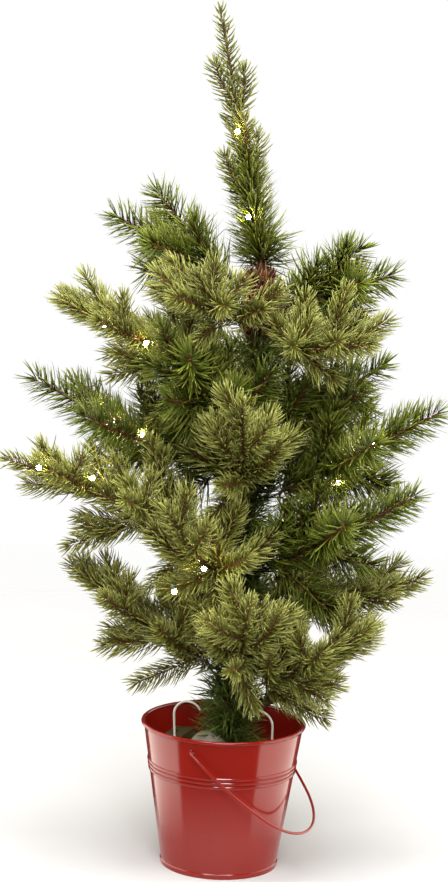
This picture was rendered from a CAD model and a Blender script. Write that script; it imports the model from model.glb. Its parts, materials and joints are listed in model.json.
"""A small artificial spruce with warm lamps, standing in a red metal bucket with a wire handle.

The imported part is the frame. Metal, cement, plastic and cable pieces keep their CAD shapes and get their
finishes here. Soft pieces (needles, twisted wires, bark, tinsel and lamps) are built here in place of their
CAD stand-ins, along lines that are read from them. Lengths are in metres; names in _mm hold millimetres.
"""

import json
import math

import bpy
import numpy as np
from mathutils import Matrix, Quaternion, Vector


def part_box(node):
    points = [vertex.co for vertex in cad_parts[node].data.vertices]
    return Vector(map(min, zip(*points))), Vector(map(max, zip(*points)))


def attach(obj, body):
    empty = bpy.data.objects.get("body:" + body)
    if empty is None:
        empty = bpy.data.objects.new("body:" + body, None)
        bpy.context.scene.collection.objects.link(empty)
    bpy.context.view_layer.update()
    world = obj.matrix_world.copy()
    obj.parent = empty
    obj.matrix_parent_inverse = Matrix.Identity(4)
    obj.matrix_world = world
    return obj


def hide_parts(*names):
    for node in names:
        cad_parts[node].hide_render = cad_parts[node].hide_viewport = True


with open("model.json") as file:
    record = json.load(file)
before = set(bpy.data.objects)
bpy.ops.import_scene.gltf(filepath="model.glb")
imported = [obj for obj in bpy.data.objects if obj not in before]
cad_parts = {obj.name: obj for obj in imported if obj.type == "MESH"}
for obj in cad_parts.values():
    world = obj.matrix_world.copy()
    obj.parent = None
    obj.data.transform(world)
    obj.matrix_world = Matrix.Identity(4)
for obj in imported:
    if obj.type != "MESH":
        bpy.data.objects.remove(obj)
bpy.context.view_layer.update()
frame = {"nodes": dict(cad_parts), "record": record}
nodes = frame["nodes"]

MM = 0.001
UP = np.array([0.0, 0.0, 1.0])
GOLDEN_TURN = math.radians(137.5)

# Branches that carry long flat strips; all others carry short moulded needles
LONG_BRANCHES = (1, 2, 7, 8, 10, 11, 14)
BRANCH_COUNT = 21


# ---------------------------------------------------------------- arrays and vectors


def unit(v):
    """v, or each row of v, at length 1."""
    v = np.asarray(v, float)
    return v / np.maximum(np.linalg.norm(v, axis=-1, keepdims=True), 1e-12)


def perpendicular(v, reference=UP):
    """The part of reference at right angles to v, at length 1."""
    v = unit(v)
    side = reference - (v @ reference) * v
    if np.linalg.norm(side) < 1e-3:
        side = np.array([1.0, 0.0, 0.0]) - v[0] * v
    return unit(side)


def coordinates(mesh):
    co = np.zeros(len(mesh.vertices) * 3, np.float32)
    mesh.vertices.foreach_get("co", co)
    return co.reshape(-1, 3).astype(float)


def loose_parts(node):
    """The separate solids of a CAD node, as arrays of points."""
    mesh = nodes[node].data
    points, same = np.unique(np.round(coordinates(mesh), 6), axis=0, return_inverse=True)
    ends = np.zeros(len(mesh.edges) * 2, np.int32)
    mesh.edges.foreach_get("vertices", ends)
    ends = same.ravel()[ends].reshape(-1, 2)
    label = np.arange(len(points))
    while True:
        before = label.copy()
        low = np.minimum(label[ends[:, 0]], label[ends[:, 1]])
        np.minimum.at(label, ends[:, 0], low)
        np.minimum.at(label, ends[:, 1], low)
        label = label[label]
        if (label == before).all():
            break
    return [points[label == k] for k in np.unique(label)]


def long_axis(points):
    """The two ends of a slim solid, along its longest direction."""
    centre = points.mean(0)
    direction = np.linalg.svd(points - centre, full_matrices=False)[2][0]
    reach = (points - centre) @ direction
    return points[reach.argmin()], points[reach.argmax()]


# ---------------------------------------------------------------- stems


class Stem:
    """A wire that carries needles, bowed by an arc whose full offset is reached at the tip."""

    def __init__(self, root, tip, bow):
        self.root = np.asarray(root, float)
        self.line = np.asarray(tip, float) - self.root
        self.bow = np.asarray(bow, float)
        self.length = float(np.linalg.norm(self.line))

    def at(self, share):
        share = np.asarray(share, float)[..., None]
        return self.root + self.line * share + self.bow * share * share

    def along(self, share):
        share = np.asarray(share, float)[..., None]
        return unit(self.line + 2 * self.bow * share)


def nearest_share(stem, point):
    return float(np.clip((point - stem.root) @ stem.line / stem.length**2, 0, 1))


def crossing(stem, near, far):
    """Where the line through near and far passes closest to the stem's straight line, and its share."""
    a, b = unit(stem.line), unit(far - near)
    gap = near - stem.root
    c = a @ b
    back = (c * (a @ gap) - b @ gap) / (1 - c * c)
    point = near + b * back
    return point, nearest_share(stem, point)


# How much more a stem that points at the viewer turns up, as a share of its length
FRONT_BOW = 0.4
# The same for single branches; less than 0 lets the tip hang
EXTRA_BOW = {
    "branch_03_needles": -0.15,
    "branch_06_needles": -0.15,
    "branch_13_needles": -0.11,
    "branch_16_needles": -0.08,
}
# Above this height the bark is left in view: no shoots close to the trunk, no stem turned up before it
BARE_HEIGHT = 0.44


def facing_viewer(direction):
    """How much a direction points at the viewer: 0 near the picture plane, 1 straight at the viewer."""
    return max(0.0, (-unit(direction)[1] - 0.3) / 0.7)


def read_stems(node, root_gap, rng, bow=0.05):
    """The main stem and the twigs of a needles node. root_gap: from the root eye to the first needles."""
    ends = [long_axis(p) for p in loose_parts(node)]
    ends.sort(key=lambda e: -np.linalg.norm(e[1] - e[0]))
    near, far = ends[0]
    trunk = trunk_line(near[2])
    if np.linalg.norm(far - trunk_line(far[2])) < np.linalg.norm(near - trunk):
        near, far = far, near
    if node.startswith("leader"):
        near, far = sorted((near, far), key=lambda p: p[2])
    root = near - unit(far - near) * root_gap
    if root[2] < BARE_HEIGHT:
        bow = bow + FRONT_BOW * facing_viewer(far - root)
    bow = bow + EXTRA_BOW.get(node, 0)
    main = Stem(root, far, perpendicular(far - root) * bow * np.linalg.norm(far - root))
    main.first = root_gap / main.length
    stems = [main]
    for a, b in ends[1:]:
        da = np.linalg.norm(a - main.root - main.line * nearest_share(main, a))
        db = np.linalg.norm(b - main.root - main.line * nearest_share(main, b))
        near, far = (a, b) if da < db else (b, a)
        fork, share = crossing(main, near, far)
        shift = main.bow * share * share
        length = np.linalg.norm(far - fork)
        own = perpendicular(far - fork) * rng.normal(0.9 * bow, 0.3 * abs(bow)) * length
        own += np.cross(unit(far - fork), UP) * rng.normal(0, 0.4 * abs(bow)) * length
        twig = Stem(fork + shift, far + shift, own)
        twig.first = 4 * MM / length
        stems.append(twig)
    return stems


# The middle of the trunk's pole at its two ends
pole = coordinates(nodes["trunk_pole"].data)
pole_low = pole[pole[:, 2] < pole[:, 2].min() + 2 * MM].mean(0)
pole_high = pole[pole[:, 2] > pole[:, 2].max() - 2 * MM].mean(0)


def trunk_line(z):
    """The middle of the trunk at height z; above the pole its line goes straight on."""
    return pole_low + (pole_high - pole_low) * (z - pole_low[2]) / (pole_high[2] - pole_low[2])


# How far a side shoot may grow past the tip of the stem that it grows on
TIP_REACH = 6 * MM


def sprigs_on(stem, rng, places, length_mm, spread, rolls):
    """Short side shoots on a stem, at shares of its length; roll 0 is up and 90 is sideways."""
    made = []
    for share, roll in zip(places, rolls):
        share = share + rng.normal(0, 0.02)
        forward = stem.along(share)
        lift = perpendicular(forward)
        flat = np.cross(forward, lift)
        turn = math.radians(spread * (1.12 - 0.4 * share) + rng.normal(0, 5))
        roll = math.radians(roll + rng.normal(0, 10))
        out = lift * math.cos(roll) + flat * math.sin(roll)
        length = length_mm * MM * rng.uniform(0.8, 1.15) * (1.1 - 0.5 * share)
        length = min(length, ((1 - share) * stem.length + TIP_REACH) / math.cos(turn))
        direction = forward * math.cos(turn) + out * math.sin(turn)
        facing = max(facing_viewer(forward), facing_viewer(direction))
        direction = unit(direction * np.array([1, 1 - 0.8 * facing, 1]) + UP * (0.1 + 0.5 * facing))
        root = stem.at(share)
        bow = perpendicular(direction) * length * rng.uniform(0.0, 0.1)
        sprig = Stem(root, root + direction * length, bow)
        sprig.first = 3 * MM / length
        made.append(sprig)
    return made


def root_sprigs(main, rng):
    """Shoots close to the trunk, sideways and down, which hide the trunk between the branches."""
    if main.root[2] > BARE_HEIGHT:
        return []
    near = 12 * MM / main.length
    places = (near, 1.6 * near, 2.2 * near, 2.8 * near)
    return sprigs_on(main, rng, places, length_mm=60, spread=66, rolls=(90, -90, 180, 20))


# Shares of the main stem's length where the shoots of a short-needled branch begin and end
FIRST_SPRIG = 0.2
FIRST_SPRIG_HIGH = 0.36
LAST_SPRIG = 0.78
# The gap between those shoots, and how much wider it is on a branch that points at the viewer
SPRIG_GAP_MM = 25
FACING_GAP_MM = 10
# Directions of the shoots about the stem. Past the limit a branch faces the viewer and gets side shoots only
ALL_ROUND = (15, 90, 165, -90)
SIDES = (90, -90)
FACING_LIMIT = 0.3
# Twigs longer than this carry shoots of their own
LONG_TWIG = 50 * MM


def short_sprigs(stems, rng):
    """Shoots that fill out a branch of moulded needles, on its main stem and on its longer twigs."""
    main, twigs = stems[0], stems[1:]
    facing = facing_viewer(main.line)
    count = int(main.length / ((SPRIG_GAP_MM + FACING_GAP_MM * facing) * MM))
    first = FIRST_SPRIG_HIGH if main.root[2] > BARE_HEIGHT else FIRST_SPRIG
    places = np.linspace(first, LAST_SPRIG, count)
    rolls = np.resize(SIDES if facing > FACING_LIMIT else ALL_ROUND, count)
    made = root_sprigs(main, rng)
    made += sprigs_on(main, rng, places, length_mm=62, spread=40, rolls=rolls)
    for twig in twigs:
        if twig.length > LONG_TWIG:
            made += sprigs_on(twig, rng, (0.3, 0.5), length_mm=38, spread=38, rolls=SIDES)
    return stems + made


LONG_SPRIG_GAP = 32 * MM


def long_sprigs(stems, rng):
    """Shoots that fill out the inner part of a branch of long strips, and leave its end a single plume."""
    main = stems[0]
    count = int(main.length / LONG_SPRIG_GAP)
    places = np.linspace(0.2, 0.5, count)
    rolls = np.arange(count) * 137.5 + rng.uniform(0, 360)
    made = root_sprigs(main, rng)
    made += sprigs_on(main, rng, places, length_mm=48, spread=46, rolls=rolls)
    return stems + made


# ---------------------------------------------------------------- needles


class NeedleStyle:
    """How one kind of needle grows. Angles are from the stem's line, in degrees."""

    def __init__(
        self,
        length_mm,
        width_mm,
        thick_mm,
        per_mm,
        start_angle,
        end_angle,
        pitch_mm=0.0,
        wander=0.25,
        flatten=0.0,
    ):
        self.length = length_mm * MM
        self.width = width_mm * MM
        self.thick = thick_mm * MM
        self.density = per_mm / MM
        self.start_angle = start_angle
        self.end_angle = end_angle
        self.pitch = pitch_mm * MM
        self.wander = wander
        self.flatten = flatten


# Moulded needles curve forward along the twig; cut strips stand out straight, in rows wound round the wire
SHORT = NeedleStyle(19.5, 1.15, 0.85, 1.95, 56, 22, flatten=0.3)
LONG = NeedleStyle(27, 1.5, 0.25, 2.9, 60, 46, pitch_mm=12.8, flatten=0.3)
SKIRT = NeedleStyle(27, 1.5, 0.25, 7.5, 62, 48)
CROWN = NeedleStyle(16, 1.4, 1.0, 1.5, 58, 34)

RING_PLACES = (0.0, 0.38, 0.78)
RING_SIZES = (0.75, 1.0, 0.72)
CORNERS = 3


def flat_normal(stem):
    """The direction across a spray: level for a level stem, and away from the trunk for an upright one."""
    forward = unit(stem.line + stem.bow)
    middle = stem.at(0.5)
    outward = (middle - trunk_line(middle[2])) * np.array([1, 1, 0])
    steep = forward[2] ** 2
    return unit(np.cross(forward, UP)) * (1 - steep) + unit(outward) * steep


def needles_on(stem, style, rng):
    """Where each needle of one stem starts, how it points at its start and end, and its size."""
    first = stem.first
    count = max(6, int(stem.length * (1 - first) * style.density))
    share = first + (1 - first) * (np.arange(count) + rng.uniform(0, 1, count)) / count
    if style.pitch:
        turn = 2 * math.pi * share * stem.length / style.pitch + math.pi * (np.arange(count) % 2)
        turn = turn + rng.normal(0, style.wander, count) + rng.uniform(0, 6.28)
    else:
        turn = np.arange(count) * GOLDEN_TURN + rng.normal(0, style.wander, count)
    forward = stem.along(share)
    lift = perpendicular(stem.line)
    lift = unit(lift - (forward @ lift)[:, None] * forward)
    side = np.cross(forward, lift)
    if style.flatten:
        normal = flat_normal(stem)
        turn = turn + style.flatten * np.sin(2 * (turn - np.arctan2(side @ normal, lift @ normal)))
    out = lift * np.cos(turn)[:, None] + side * np.sin(turn)[:, None]
    near_tip = np.clip((share - 1) * stem.length / (9 * MM) + 1, 0, 1)
    start = np.radians(style.start_angle + rng.normal(0, 7, count)) * (1 - 0.45 * near_tip)
    end = np.radians(style.end_angle + rng.normal(0, 8, count)) * (1 - 0.6 * near_tip)
    taper = 1 - 0.42 * np.clip((share - 0.55) / 0.45, 0, 1) ** 2
    length = style.length * rng.normal(1, 0.12, count).clip(0.65, 1.25) * taper
    d0 = forward * np.cos(start)[:, None] + out * np.sin(start)[:, None]
    d1 = forward * np.cos(end)[:, None] + out * np.sin(end)[:, None]
    d1 = unit(d1 + rng.normal(0, 0.07, (count, 3)) + np.array([0, 0, -0.03]))
    return {
        "root": stem.at(share) + out * 0.7 * MM,
        "start": unit(d0),
        "end": d1,
        "forward": forward,
        "length": length,
        "width": style.width * rng.normal(1, 0.15, count).clip(0.6, 1.4),
        "thick": np.full(count, style.thick),
    }


def joined(parts):
    return {k: np.concatenate([p[k] for p in parts]) for k in parts[0]}


def needle_points(n, rng):
    """The points of every needle, shaped (needles, points, 3): rings of three corners, then its tip."""
    count = len(n["length"])
    flat = unit(np.cross(n["start"], n["forward"]))
    spin = rng.normal(0, 0.5, count)
    turn_face = unit(np.cross(flat, n["start"]))
    flat, face = (
        flat * np.cos(spin)[:, None] + turn_face * np.sin(spin)[:, None],
        turn_face * np.cos(spin)[:, None] - flat * np.sin(spin)[:, None],
    )

    def centre(t):
        return n["root"] + n["length"][:, None] * (n["start"] * (t - t * t / 2) + n["end"] * t * t / 2)

    rings = []
    for place, size in zip(RING_PLACES, RING_SIZES):
        middle = centre(place)
        half = (n["width"] / 2 * size)[:, None]
        high = (n["thick"] / 2 * size)[:, None]
        rings.append(middle + flat * half - face * high)
        rings.append(middle - flat * half - face * high)
        rings.append(middle + face * high)
    rings.append(centre(1.0))
    return np.stack(rings, axis=1)


def needle_faces():
    """Corners of one needle's faces, and each corner's place in the needle's own cell of the map."""
    faces, places = [], []
    steps = list(RING_PLACES) + [1.0]
    for k in range(len(RING_PLACES) - 1):
        for j in range(CORNERS):
            i = (j + 1) % CORNERS
            faces.append([k * 3 + j, k * 3 + i, k * 3 + 3 + i, k * 3 + 3 + j])
            u0, u1 = j / CORNERS, (j + 1) / CORNERS
            places.append([(u0, steps[k]), (u1, steps[k]), (u1, steps[k + 1]), (u0, steps[k + 1])])
    last = (len(RING_PLACES) - 1) * 3
    for j in range(CORNERS):
        i = (j + 1) % CORNERS
        faces.append([last + j, last + i, last + 3])
        u0, u1 = j / CORNERS, (j + 1) / CORNERS
        places.append([(u0, steps[-2]), (u1, steps[-2]), ((u0 + u1) / 2, 1.0)])
    faces.append([2, 1, 0])
    places.append([(0.6, 0.0), (0.5, 0.02), (0.4, 0.0)])
    return faces, places


def mesh_from_arrays(name, points, loops, sizes):
    mesh = bpy.data.meshes.new(name)
    mesh.vertices.add(len(points))
    mesh.vertices.foreach_set("co", points.astype(np.float32).ravel())
    mesh.loops.add(len(loops))
    mesh.loops.foreach_set("vertex_index", loops.astype(np.int32))
    mesh.polygons.add(len(sizes))
    starts = np.concatenate([[0], np.cumsum(sizes)[:-1]])
    mesh.polygons.foreach_set("loop_start", starts.astype(np.int32))
    mesh.update(calc_edges=True)
    mesh.validate()
    return mesh


def add_attribute(mesh, name, values):
    attribute = mesh.attributes.new(name, "FLOAT", "POINT")
    attribute.data.foreach_set("value", np.asarray(values, np.float32))


def add_map(mesh, uv):
    """The map that finishes are baked into."""
    layer = mesh.uv_layers.new(name="OFBake")
    layer.data.foreach_set("uv", np.asarray(uv, np.float32).ravel())


def link(name, mesh, materials, smooth=True):
    obj = bpy.data.objects.new(name, mesh)
    bpy.context.scene.collection.objects.link(obj)
    for material in materials:
        mesh.materials.append(material)
    if smooth:
        mesh.polygons.foreach_set("use_smooth", np.ones(len(mesh.polygons), bool))
    return obj


def needle_object(name, n, material, rng):
    """One mesh that holds every needle of n as a separate closed solid."""
    points = needle_points(n, rng)
    count, per = points.shape[:2]
    faces, places = needle_faces()
    loops = np.concatenate([np.array(f) for f in faces])
    sizes = np.tile([len(f) for f in faces], count)
    all_loops = (loops[None, :] + per * np.arange(count)[:, None]).ravel()
    mesh = mesh_from_arrays(name, points.reshape(-1, 3), all_loops, sizes)
    cells = math.ceil(math.sqrt(count / 4))
    rows = math.ceil(count / (cells * 4))
    cell = np.arange(count)
    corner = np.array([(cell % (cells * 4)) / (cells * 4), (cell // (cells * 4)) / rows]).T
    local = np.array([p for face in places for p in face]) * 0.86 + 0.07
    uv = corner[:, None, :] + local[None] * np.array([1 / (cells * 4), 1 / rows])
    add_map(mesh, uv)
    along = list(np.repeat(RING_PLACES, 3)) + [1.0]
    add_attribute(mesh, "along", np.tile(along, count))
    add_attribute(mesh, "tint", np.repeat(rng.uniform(0, 1, count), per))
    return link(name, mesh, [material], smooth=True)


# ---------------------------------------------------------------- wires


def tube_points(path, radius, sides, flatness=1.0, twist=0.0):
    """Rings of points round a path. twist is the turn of the section along the path, in radians."""
    path = np.asarray(path, float)
    count = len(path)
    forward = unit(np.gradient(path, axis=0))
    lift = perpendicular(path[-1] - path[0])
    lift = unit(lift - (forward * lift).sum(1)[:, None] * forward)
    side = np.cross(forward, lift)
    turn = np.linspace(0, twist, count)
    angle = np.arange(sides) / sides * 2 * math.pi
    radius = np.broadcast_to(radius, (count,))
    a = np.cos(angle)[None, :, None] * radius[:, None, None]
    b = np.sin(angle)[None, :, None] * radius[:, None, None] * flatness
    u = lift * np.cos(turn)[:, None] + side * np.sin(turn)[:, None]
    v = side * np.cos(turn)[:, None] - lift * np.sin(turn)[:, None]
    return path[:, None, :] + u[:, None, :] * a + v[:, None, :] * b


def tube_faces(rings, sides):
    faces = []
    for k in range(rings - 1):
        for j in range(sides):
            i = (j + 1) % sides
            faces.append([k * sides + j, k * sides + i, (k + 1) * sides + i, (k + 1) * sides + j])
    faces.append(list(range(sides))[::-1])
    faces.append([(rings - 1) * sides + j for j in range(sides)])
    return faces


def solid_object(name, solids, materials, smooth=True, material_of=None):
    """An object from (points, faces) solids. material_of gives each solid's material number."""
    points, loops, sizes, slots = [], [], [], []
    start = 0
    for number, (p, faces) in enumerate(solids):
        points.append(p.reshape(-1, 3))
        for f in faces:
            loops.append(np.array(f) + start)
            sizes.append(len(f))
            slots.append(material_of[number] if material_of else 0)
        start += len(points[-1])
    mesh = mesh_from_arrays(name, np.concatenate(points), np.concatenate(loops), np.array(sizes))
    obj = link(name, mesh, materials, smooth)
    mesh.polygons.foreach_set("material_index", np.array(slots, np.int32))
    return obj


def twisted_wire(stem, from_share, to_share, width, pitch=4.5 * MM):
    """Two wires twisted together, as a flat section that turns along the stem."""
    length = stem.length * (to_share - from_share)
    rings = max(4, int(length / pitch * 5))
    path = stem.at(np.linspace(from_share, to_share, rings))
    points = tube_points(path, width / 2, 4, flatness=0.62, twist=2 * math.pi * length / pitch)
    return points, tube_faces(rings, 4)


# ---------------------------------------------------------------- materials


def srgb(r, g, b):
    """A colour given as it looks, from 0 to 255, as linear light."""
    def one(c):
        c = c / 255
        return c / 12.92 if c <= 0.04045 else ((c + 0.055) / 1.055) ** 2.4

    return (one(r), one(g), one(b), 1.0)


class Finish:
    """A material under construction: short ways to add and link nodes."""

    def __init__(self, name):
        self.material = bpy.data.materials.new(name)
        self.material.use_nodes = True
        self.tree = self.material.node_tree
        self.shader = self.tree.nodes["Principled BSDF"]

    def node(self, kind, **values):
        node = self.tree.nodes.new(kind)
        for key, value in values.items():
            if key in node.inputs:
                node.inputs[key].default_value = value
            else:
                setattr(node, key, value)
        return node

    def link(self, output, target):
        self.tree.links.new(output, target)

    def set(self, **values):
        for key, value in values.items():
            self.shader.inputs[key.replace("_", " ")].default_value = value

    def coordinates(self):
        return self.node("ShaderNodeTexCoord").outputs["Object"]

    def noise(self, scale, detail=3.0, roughness=0.55, distortion=0.0, stretch=None):
        source = self.coordinates()
        if stretch:
            mapping = self.node("ShaderNodeMapping")
            mapping.inputs["Scale"].default_value = stretch
            self.link(source, mapping.inputs["Vector"])
            source = mapping.outputs["Vector"]
        values = {"Scale": scale, "Detail": detail, "Roughness": roughness, "Distortion": distortion}
        noise = self.node("ShaderNodeTexNoise", **values)
        self.link(source, noise.inputs["Vector"])
        return noise.outputs["Fac"]

    def ramp(self, value, stops):
        """stops: (place, colour) pairs."""
        ramp = self.node("ShaderNodeValToRGB")
        elements = ramp.color_ramp.elements
        while len(elements) < len(stops):
            elements.new(0.5)
        for element, (place, colour) in zip(elements, stops):
            element.position = place
            element.color = colour
        self.link(value, ramp.inputs["Fac"])
        return ramp.outputs["Color"]

    def spread(self, value, low, high):
        """value, from 0 to 1, over the range low to high."""
        node = self.node("ShaderNodeMapRange")
        node.inputs["To Min"].default_value = low
        node.inputs["To Max"].default_value = high
        self.link(value, node.inputs["Value"])
        return node.outputs["Result"]

    def tone(self, colour, hue=None, saturation=None, value=None):
        node = self.node("ShaderNodeHueSaturation")
        self.link(colour, node.inputs["Color"])
        for output, key in ((hue, "Hue"), (saturation, "Saturation"), (value, "Value")):
            if output is not None:
                self.link(output, node.inputs[key])
        return node.outputs["Color"]

    def blend(self, share, a, b, kind="MIX"):
        node = self.node("ShaderNodeMix", data_type="RGBA", blend_type=kind)
        self.link(share, node.inputs["Factor"])
        for value, key in ((a, 6), (b, 7)):
            if isinstance(value, tuple):
                node.inputs[key].default_value = value
            else:
                self.link(value, node.inputs[key])
        return node.outputs[2]

    def attribute(self, name):
        node = self.node("ShaderNodeAttribute", attribute_name=name)
        return node.outputs["Fac"]

    def bump(self, height, strength, distance):
        node = self.node("ShaderNodeBump", Strength=strength, Distance=distance)
        self.link(height, node.inputs["Height"])
        self.link(node.outputs["Normal"], self.shader.inputs["Normal"])


def needle_finish(name, brown, deep, middle, tip, roughness, tint=0.32):
    """Needles, brown at the wire, dark green above it and lighter at the point, each with its own tint."""
    f = Finish(name)
    stops = [(0.0, brown), (0.05, brown), (0.18, deep), (0.6, middle), (1.0, tip)]
    colour = f.ramp(f.attribute("along"), stops)
    patches = f.noise(24.0, detail=2.0)
    hue = f.spread(f.noise(160.0, detail=1.0), 0.475, 0.525)
    value = f.spread(f.attribute("tint"), 1 - tint, 1 + tint)
    colour = f.tone(colour, hue=hue, value=value)
    colour = f.tone(colour, value=f.spread(patches, 0.72, 1.28))
    f.link(colour, f.shader.inputs["Base Color"])
    gloss = f.spread(f.noise(900.0, detail=2.0), roughness - 0.1, roughness + 0.12)
    f.link(gloss, f.shader.inputs["Roughness"])
    f.set(Specular_IOR_Level=0.3)
    f.bump(f.noise(1400.0, detail=2.0), 0.25, 0.0002)
    return f.material


def paint_finish(name):
    """Glossy red lacquer with a slight orange peel, a little darker and duller where dust has settled."""
    f = Finish(name)
    cloud = f.noise(9.0, detail=4.0)
    colour = f.ramp(cloud, [(0.25, srgb(128, 22, 12)), (0.75, srgb(134, 24, 14))])
    specks = f.ramp(f.noise(520.0, detail=2.0), [(0.64, (0, 0, 0, 1)), (0.76, (1, 1, 1, 1))])
    colour = f.blend(specks, colour, srgb(116, 24, 14))
    f.link(colour, f.shader.inputs["Base Color"])
    f.link(f.spread(f.noise(30.0, detail=5.0), 0.1, 0.17), f.shader.inputs["Roughness"])
    f.bump(f.noise(180.0, detail=2.0), 0.05, 0.0006)
    return f.material


def cement_finish():
    f = Finish("cement")
    cloud = f.noise(60.0, detail=6.0)
    stops = [(0.2, srgb(104, 98, 86)), (0.55, srgb(146, 138, 122)), (0.85, srgb(176, 168, 152))]
    colour = f.ramp(cloud, stops)
    grains = f.noise(900.0, detail=3.0)
    colour = f.tone(colour, value=f.spread(grains, 0.7, 1.25))
    f.link(colour, f.shader.inputs["Base Color"])
    f.set(Roughness=0.92)
    f.bump(f.noise(500.0, detail=8.0, roughness=0.7), 0.7, 0.0012)
    return f.material


def steel_finish():
    f = Finish("pole_steel")
    colour = f.ramp(f.noise(300.0, detail=4.0), [(0.3, srgb(58, 44, 32)), (0.7, srgb(84, 66, 48))])
    f.link(colour, f.shader.inputs["Base Color"])
    f.set(Roughness=0.5, Metallic=0.6)
    f.bump(f.noise(700.0), 0.2, 0.0003)
    return f.material


def film_finish(name, dark, light, roughness=0.42):
    """Torn plastic film wound on a wire."""
    f = Finish(name)
    colour = f.ramp(f.attribute("tint"), [(0.0, dark), (1.0, light)])
    colour = f.tone(colour, value=f.spread(f.noise(140.0), 0.7, 1.3))
    f.link(colour, f.shader.inputs["Base Color"])
    f.link(f.spread(f.noise(600.0), roughness - 0.1, roughness + 0.15), f.shader.inputs["Roughness"])
    f.bump(f.noise(900.0), 0.3, 0.0003)
    return f.material


def wire_finish(name, dark, light):
    f = Finish(name)
    streaks = f.noise(500.0, detail=3.0, distortion=0.6)
    colour = f.ramp(streaks, [(0.3, dark), (0.7, light)])
    f.link(colour, f.shader.inputs["Base Color"])
    f.link(f.spread(f.noise(300.0), 0.5, 0.75), f.shader.inputs["Roughness"])
    f.bump(f.noise(1200.0), 0.4, 0.0003)
    return f.material


def plastic_finish(name, dark, light, roughness):
    f = Finish(name)
    colour = f.ramp(f.noise(30.0, detail=4.0), [(0.3, dark), (0.7, light)])
    f.link(colour, f.shader.inputs["Base Color"])
    gloss = f.spread(f.noise(220.0, detail=3.0), roughness - 0.06, roughness + 0.1)
    f.link(gloss, f.shader.inputs["Roughness"])
    f.bump(f.noise(1500.0, detail=2.0), 0.15, 0.0002)
    return f.material


def cable_finish():
    """Clear plastic cable with the pale copper of its cores showing through."""
    f = Finish("cable")
    colour = f.ramp(f.noise(90.0, detail=2.0), [(0.3, srgb(196, 196, 178)), (0.7, srgb(226, 224, 210))])
    f.link(colour, f.shader.inputs["Base Color"])
    f.set(Roughness=0.16, Coat_Weight=0.6, Coat_Roughness=0.05)
    f.bump(f.noise(400.0), 0.1, 0.0003)
    return f.material


def lamp_finish(strength):
    """A clear lens lit from inside: almost white in the middle, yellow towards its edge."""
    f = Finish("lamp_lens")
    facing = f.node("ShaderNodeLayerWeight", Blend=0.35).outputs["Facing"]
    colour = f.ramp(facing, [(0.0, (1.0, 0.93, 0.55, 1)), (1.0, (1.0, 0.72, 0.16, 1))])
    f.link(colour, f.shader.inputs["Emission Color"])
    base = f.ramp(f.noise(300.0), [(0.3, srgb(250, 236, 170)), (0.7, srgb(255, 246, 200))])
    f.link(base, f.shader.inputs["Base Color"])
    f.set(Emission_Strength=strength, Roughness=0.15)
    return f.material


short_green = needle_finish(
    "short_needles",
    brown=srgb(128, 92, 36),
    deep=srgb(98, 101, 34),
    middle=srgb(136, 138, 62),
    tip=srgb(168, 167, 98),
    roughness=0.5,
)
long_green = needle_finish(
    "long_needles",
    brown=srgb(116, 76, 34),
    deep=srgb(76, 90, 20),
    middle=srgb(106, 116, 34),
    tip=srgb(124, 130, 50),
    roughness=0.4,
)
crown_green = needle_finish(
    "crown_needles",
    brown=srgb(136, 106, 36),
    deep=srgb(92, 96, 32),
    middle=srgb(120, 122, 52),
    tip=srgb(138, 138, 72),
    roughness=0.46,
)
dark_green = film_finish("trunk_film", srgb(50, 72, 16), srgb(104, 122, 36))
bark_red = film_finish("bark_film", srgb(74, 42, 20), srgb(156, 104, 62))
stem_brown = wire_finish("branch_wire", srgb(56, 38, 20), srgb(104, 74, 40))
red_paint = paint_finish("bucket_paint")
cement = cement_finish()
steel = steel_finish()
case_green = plastic_finish("case_plastic", srgb(60, 54, 30), srgb(80, 73, 42), 0.35)
knob_black = plastic_finish("knob_plastic", srgb(20, 20, 20), srgb(34, 34, 34), 0.45)
holder_green = plastic_finish("lamp_holder", srgb(44, 60, 30), srgb(60, 78, 40), 0.35)
lamp_lens = lamp_finish(150.0)
clear_cable = cable_finish()


# ---------------------------------------------------------------- branches

# From the eye at a stem's root to its first needles
EYE_GAP = 26 * MM
LEADER_GAP = 30 * MM
# Thickness of the twisted wires
BRANCH_WIRE = 2.6 * MM
LEADER_WIRE = 3.2 * MM
# The long needles at the foot of the leader end at this share of its length
SKIRT_END = 0.42
# How much the leader's side shoots curl in towards it
SHOOT_CURL = 0.45


def place(obj, body, slot, stands_for=None):
    """Fix a piece to its body and name its slot. stands_for: the CAD node that it is shown instead of."""
    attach(obj, body)
    if stands_for:
        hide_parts(stands_for)


def body_name(number):
    return f"branch_{number:02d}"


# The lowest branch on the right is bare near the trunk and thickly wrapped there
SLEEVED_BRANCH = 21
SLEEVE_ENDS = (0.12, 0.6)
SLEEVE_RADIUS = 4.2 * MM


def wrapped_sleeve(stem, rng, rings=40, sides=12):
    """A thick wrapping round a wire, ridged along its length and thinner at both ends."""
    share = np.linspace(*SLEEVE_ENDS, rings)
    ring = np.arange(rings)
    ridges = 1 + 0.1 * np.sin(ring * 1.7) + rng.normal(0, 0.04, rings)
    ends = np.clip(np.minimum(ring, ring[::-1]) / 5 + 0.4, 0, 1)
    points = tube_points(stem.at(share), SLEEVE_RADIUS * ridges * ends, sides)
    return points, tube_faces(rings, sides)


def make_wires(name, stems, body, node, width, sleeve=None):
    solids = [twisted_wire(stems[0], 0.0, 0.95, width)]
    for stem in stems[1:]:
        solids.append(twisted_wire(stem, 0.0, 0.86, width * 0.62))
    if sleeve:
        solids.append(sleeve)
    obj = solid_object(name, solids, [stem_brown])
    place(obj, body, "branch_wire", node)


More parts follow.
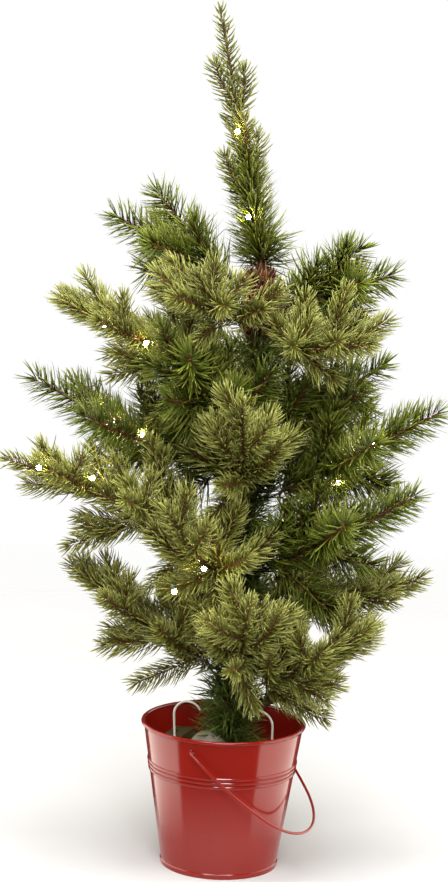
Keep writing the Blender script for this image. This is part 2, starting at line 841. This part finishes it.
def make_branch(number):
    rng = np.random.default_rng(number)
    body = body_name(number)
    long = number in LONG_BRANCHES
    stems = read_stems(body + "_needles", EYE_GAP, rng, bow=0.05 if long else 0.07)
    sleeve = None
    if number == SLEEVED_BRANCH:
        sleeve = wrapped_sleeve(stems[0], rng)
        stems[0].first = SLEEVE_ENDS[1]
        places = (0.6, 0.66, 0.74)
        stems += sprigs_on(stems[0], rng, places, length_mm=40, spread=40, rolls=(90, -90, 0))
    else:
        stems = long_sprigs(stems, rng) if long else short_sprigs(stems, rng)
    style = LONG if long else SHORT
    n = joined([needles_on(stem, style, rng) for stem in stems])
    obj = needle_object(body + "_foliage", n, long_green if long else short_green, rng)
    place(obj, body, "long_needles" if long else "short_needles", body + "_needles")
    make_wires(body + "_stems", stems, body, body + "_wires", BRANCH_WIRE, sleeve)


def make_leader():
    rng = np.random.default_rng(100)
    stems = read_stems("leader_needles", LEADER_GAP, rng, bow=0.0)
    main = stems[0]
    for twig in stems[1:]:
        away = twig.root + twig.line - main.at(nearest_share(main, twig.root + twig.line))
        twig.bow = -away * SHOOT_CURL
    n = joined([needles_on(stem, CROWN, rng) for stem in stems])
    obj = needle_object("leader_foliage", n, crown_green, rng)
    place(obj, "leader", "short_needles", "leader_needles")
    skirt = Stem(main.root, main.at(SKIRT_END), (0, 0, 0))
    skirt.first = 0.04
    n = needles_on(skirt, SKIRT, rng)
    obj = needle_object("leader_skirt", n, long_green, rng)
    place(obj, "leader", "long_needles")
    make_wires("leader_stems", stems, "leader", "leader_wires", LEADER_WIRE)


for number in range(1, BRANCH_COUNT + 1):
    make_branch(number)
make_leader()


# ---------------------------------------------------------------- trunk


ALL_SIDES = (0, 2 * math.pi)
# All sides but the viewer's, so that the bark stays in view
SIDES_AND_BACK = (-0.35, math.pi + 0.35)


def radial_film(rng, low_z, high_z, per_mm, length_mm, width_mm, angle, inner_mm, arc=ALL_SIDES):
    """Strips of film that stand out round the trunk between two heights, angle degrees above level."""
    count = int((high_z - low_z) / MM * per_mm)
    z = rng.uniform(low_z, high_z, count)
    turn = rng.uniform(arc[0], arc[1], count)
    out = np.array([np.cos(turn), np.sin(turn), np.zeros(count)]).T
    centre = np.array([trunk_line(h) for h in z])
    rise = np.radians(rng.normal(angle, 22, count))
    start = unit(out * np.cos(rise)[:, None] + UP * np.sin(rise)[:, None])
    bend = unit(start + rng.normal(0, 0.35, (count, 3)))
    return {
        "root": centre + out * inner_mm * MM,
        "start": start,
        "end": bend,
        "forward": np.broadcast_to(UP, (count, 3)).copy(),
        "length": length_mm * MM * rng.uniform(0.6, 1.2, count),
        "width": width_mm * MM * rng.uniform(0.7, 1.3, count),
        "thick": np.full(count, 0.22 * MM),
    }


def make_trunk():
    rng = np.random.default_rng(200)
    low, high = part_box("trunk_bark")
    heights = np.arange(low.z, high.z, 2.5 * MM)
    path = np.array([trunk_line(z) for z in heights])
    wobble = 1 + 0.1 * np.sin(heights * 900) + rng.normal(0, 0.04, len(heights))
    core = tube_points(path, 7.2 * MM * wobble, 12)
    bark = solid_object("trunk_winding", [(core, tube_faces(len(path), 12))], [stem_brown])
    place(bark, "bucket", "bark", "trunk_bark")
    clump = high.z - 0.052
    strips = joined(
        [
            radial_film(
                rng, low.z + 0.01, high.z - 0.035,
                per_mm=4.2, length_mm=10, width_mm=1.2, angle=35, inner_mm=6.8,
            ),
            radial_film(
                rng, clump, high.z - 0.003,
                per_mm=17, length_mm=17, width_mm=1.9, angle=56, inner_mm=7.2,
            ),
        ]
    )
    obj = needle_object("trunk_bark_strips", strips, bark_red, rng)
    place(obj, "bucket", "bark")
    foot = radial_film(
        rng, low.z - 0.028, low.z + 0.06,
        per_mm=16, length_mm=32, width_mm=1.4, angle=30, inner_mm=5,
    )
    waist = radial_film(
        rng, low.z + 0.06, high.z - 0.1,
        per_mm=14, length_mm=30, width_mm=1.4, angle=18, inner_mm=6,
    )
    shoulder = radial_film(
        rng, high.z - 0.1, high.z - 0.056,
        per_mm=9, length_mm=26, width_mm=1.3, angle=30, inner_mm=6,
    )
    obj = needle_object("trunk_tinsel", joined([foot, waist, shoulder]), dark_green, rng)
    place(obj, "bucket", "long_needles")
    collar = radial_film(
        rng, high.z + 0.006, high.z + 0.032,
        per_mm=9, length_mm=32, width_mm=1.6, angle=8, inner_mm=2.5, arc=SIDES_AND_BACK,
    )
    obj = needle_object("leader_collar", collar, long_green, rng)
    place(obj, "leader", "long_needles")


make_trunk()


# ---------------------------------------------------------------- lamps and cable


def lathe(profile, origin, axis, sides):
    """A solid of revolution from (radius, height) pairs whose first and last radius are 0."""
    u = perpendicular(axis)
    v = np.cross(axis, u)
    rings = profile[1:-1]
    angle = np.arange(sides) / sides * 2 * math.pi
    points = [origin + axis * profile[0][1]]
    for radius, height in rings:
        points.extend(origin + axis * height + (u * math.cos(a) + v * math.sin(a)) * radius for a in angle)
    points.append(origin + axis * profile[-1][1])
    faces = []
    for j in range(sides):
        i = (j + 1) % sides
        faces.append([0, 1 + i, 1 + j])
        for k in range(len(rings) - 1):
            a = 1 + k * sides
            faces.append([a + j, a + i, a + sides + i, a + sides + j])
        a = 1 + (len(rings) - 1) * sides
        faces.append([a + j, a + i, len(points) - 1])
    return np.array(points), faces


# Profiles of a lamp's holder and its lens: radius and height in millimetres
HOLDER = [(0, 0), (1.3, 0), (1.5, 0.4), (1.5, 3.6), (1.9, 4.0), (1.9, 5.2), (0, 5.2)]
LENS = [(0, 4.6), (1.6, 4.6), (1.9, 5.2), (2.05, 6.0), (2.0, 6.8), (1.6, 7.8), (0.9, 8.5), (0, 8.7)]


def make_lamps(node, body):
    """The lamps of a CAD node. A stand-in's wider end is the foot of the lamp's holder."""
    solids, slots = [], []
    for points in loose_parts(node):
        a, b = long_axis(points)
        axis = unit(b - a)
        reach = (points - a) @ axis
        off = np.linalg.norm(points - a - reach[:, None] * axis, axis=1)
        wide_a = off[reach < reach.min() + 0.3 * MM].mean()
        wide_b = off[reach > reach.max() - 0.3 * MM].mean()
        centre = points.mean(0)
        if wide_b > wide_a:
            axis = -axis
        reach = (points - centre) @ axis
        foot = centre + axis * reach.min()
        for profile, slot_number in ((HOLDER, 0), (LENS, 1)):
            scaled = [(r * MM, h * MM) for r, h in profile]
            solids.append(lathe(scaled, foot, axis, 12))
            slots.append(slot_number)
    name = node.replace("_lamps", "_lights")
    obj = solid_object(name, solids, [holder_green, lamp_lens], material_of=slots)
    place(obj, body, "lamp", node)


for body, members in frame["record"]["behaviour"]["bodies"].items():
    for node in members:
        if node.endswith("_lamps"):
            make_lamps(node, body)


# ---------------------------------------------------------------- pieces that keep their CAD shapes

CAD_FINISHES = {
    "bucket_shell": (red_paint, "bucket_paint"),
    "bucket_base": (red_paint, "bucket_paint"),
    "bail_handle": (red_paint, "bucket_paint"),
    "cement_foot": (cement, "cement"),
    "trunk_pole": (steel, "pole_steel"),
    "battery_case": (case_green, "case_plastic"),
    "battery_lid": (case_green, "case_plastic"),
    "switch_knob": (knob_black, "knob_plastic"),
    "light_cable": (clear_cable, "cable"),
}
for node in ("battery_case", "battery_lid"):
    rounding = nodes[node].modifiers.new("rounded_edges", "BEVEL")
    rounding.width = 0.9 * MM
    rounding.segments = 3
    rounding.limit_method = "ANGLE"
for node, (material, slot_name) in CAD_FINISHES.items():
    nodes[node].data.materials.clear()
    nodes[node].data.materials.append(material)


# ---------------------------------------------------------------- stage, light and camera


def floor_finish(radius):
    """White paper that fades into the white background. Reflections see it only close to the object."""
    f = Finish("floor_paper")
    colour = f.ramp(f.noise(6.0, detail=3.0), [(0.3, (0.5, 0.5, 0.5, 1)), (0.7, (0.52, 0.52, 0.52, 1))])
    f.link(colour, f.shader.inputs["Base Color"])
    f.set(Roughness=0.9)
    distance = f.node("ShaderNodeVectorMath", operation="LENGTH")
    f.link(f.coordinates(), distance.inputs[0])
    fade = f.node("ShaderNodeMapRange", interpolation_type="SMOOTHSTEP")
    fade.inputs["From Min"].default_value = radius * 0.3
    fade.inputs["From Max"].default_value = radius * 0.95
    f.link(distance.outputs["Value"], fade.inputs["Value"])
    near = f.node("ShaderNodeMapRange")
    near.inputs["From Min"].default_value = 0.1
    near.inputs["From Max"].default_value = 0.2
    f.link(distance.outputs["Value"], near.inputs["Value"])
    mirrored = f.node("ShaderNodeMath", operation="MULTIPLY")
    f.link(f.node("ShaderNodeLightPath").outputs["Is Glossy Ray"], mirrored.inputs[0])
    f.link(near.outputs["Result"], mirrored.inputs[1])
    unseen = f.node("ShaderNodeMath", operation="MAXIMUM")
    f.link(fade.outputs["Result"], unseen.inputs[0])
    f.link(mirrored.outputs["Value"], unseen.inputs[1])
    clear = f.node("ShaderNodeBsdfTransparent")
    mixed = f.node("ShaderNodeMixShader")
    f.link(unseen.outputs["Value"], mixed.inputs["Fac"])
    f.link(f.shader.outputs["BSDF"], mixed.inputs[1])
    f.link(clear.outputs["BSDF"], mixed.inputs[2])
    f.link(mixed.outputs["Shader"], f.tree.nodes["Material Output"].inputs["Surface"])
    return f.material


def make_floor(radius=1.6, sides=96):
    """A round white sheet under the bucket."""
    angle = np.arange(sides) / sides * 2 * math.pi
    points = np.array([np.cos(angle) * radius, np.sin(angle) * radius, np.zeros(sides)]).T
    floor = solid_object("floor_sheet", [(points, [list(range(sides))])], [floor_finish(radius)])


def area_light(name, origin, aim, width, height, power, colour):
    data = bpy.data.lights.new(name, "AREA")
    data.shape = "RECTANGLE"
    data.size, data.size_y = width, height
    data.energy = power
    data.color = colour
    light = bpy.data.objects.new(name, data)
    light.location = origin
    light.rotation_euler = (Vector(aim) - Vector(origin)).to_track_quat("-Z", "Y").to_euler()
    light.visible_camera = False
    bpy.context.scene.collection.objects.link(light)


def make_world(light, backdrop):
    """An even white surround. It lights the object less than it shows behind it."""
    world = bpy.data.worlds.new("studio")
    world.use_nodes = True
    tree = world.node_tree
    background = tree.nodes["Background"]
    background.inputs["Color"].default_value = (1.0, 1.0, 1.0, 1)
    path = tree.nodes.new("ShaderNodeLightPath")
    level = tree.nodes.new("ShaderNodeMapRange")
    level.inputs["To Min"].default_value = light
    level.inputs["To Max"].default_value = backdrop
    tree.links.new(path.outputs["Is Camera Ray"], level.inputs["Value"])
    mirror = tree.nodes.new("ShaderNodeMapRange")
    mirror.inputs["To Min"].default_value = 1.0
    mirror.inputs["To Max"].default_value = 0.3
    tree.links.new(path.outputs["Is Glossy Ray"], mirror.inputs["Value"])
    product = tree.nodes.new("ShaderNodeMath")
    product.operation = "MULTIPLY"
    tree.links.new(level.outputs["Result"], product.inputs[0])
    tree.links.new(mirror.outputs["Result"], product.inputs[1])
    tree.links.new(product.outputs["Value"], background.inputs["Strength"])
    bpy.context.scene.world = world


CAMERA_PLACE = Vector((-0.0086, -2.2, 0.734))
CAMERA_AIM = Vector((-0.0086, 0.0, 0.375))
CAMERA_ROLL = math.radians(2.1)


def make_camera():
    data = bpy.data.cameras.new("camera")
    data.lens = 106
    data.sensor_width = 36
    camera = bpy.data.objects.new("camera", data)
    camera.location = CAMERA_PLACE
    camera.rotation_mode = "QUATERNION"
    look = (CAMERA_AIM - CAMERA_PLACE).to_track_quat("-Z", "Y")
    camera.rotation_quaternion = look @ Quaternion((0, 0, 1), CAMERA_ROLL)
    bpy.context.scene.collection.objects.link(camera)
    bpy.context.scene.camera = camera


WARM_WHITE = (1.0, 0.94, 0.84)
WHITE = (1, 1, 1)
# Name, place, the point it faces, width, height, power in watts and colour
LIGHTS = [
    ("left_panel", (-1.7, 0.95, 0.1), (0, 0.95, 0.1), 3.0, 3.4, 102, WARM_WHITE),
    ("right_panel", (1.7, 0.6, 0.1), (0, 0.6, 0.1), 3.3, 3.4, 98, WARM_WHITE),
    ("top", (0, -0.5, 2.2), (0, 0, 0.4), 1.6, 1.2, 84, WHITE),
    ("front", (0.1, -2.8, 2.2), (0, 0, 0.4), 1.4, 0.9, 80, WHITE),
]

make_floor()
make_world(light=0.22, backdrop=1.0)
for light in LIGHTS:
    area_light(*light)
make_camera()
bpy.context.scene.view_settings.view_transform = "Standard"
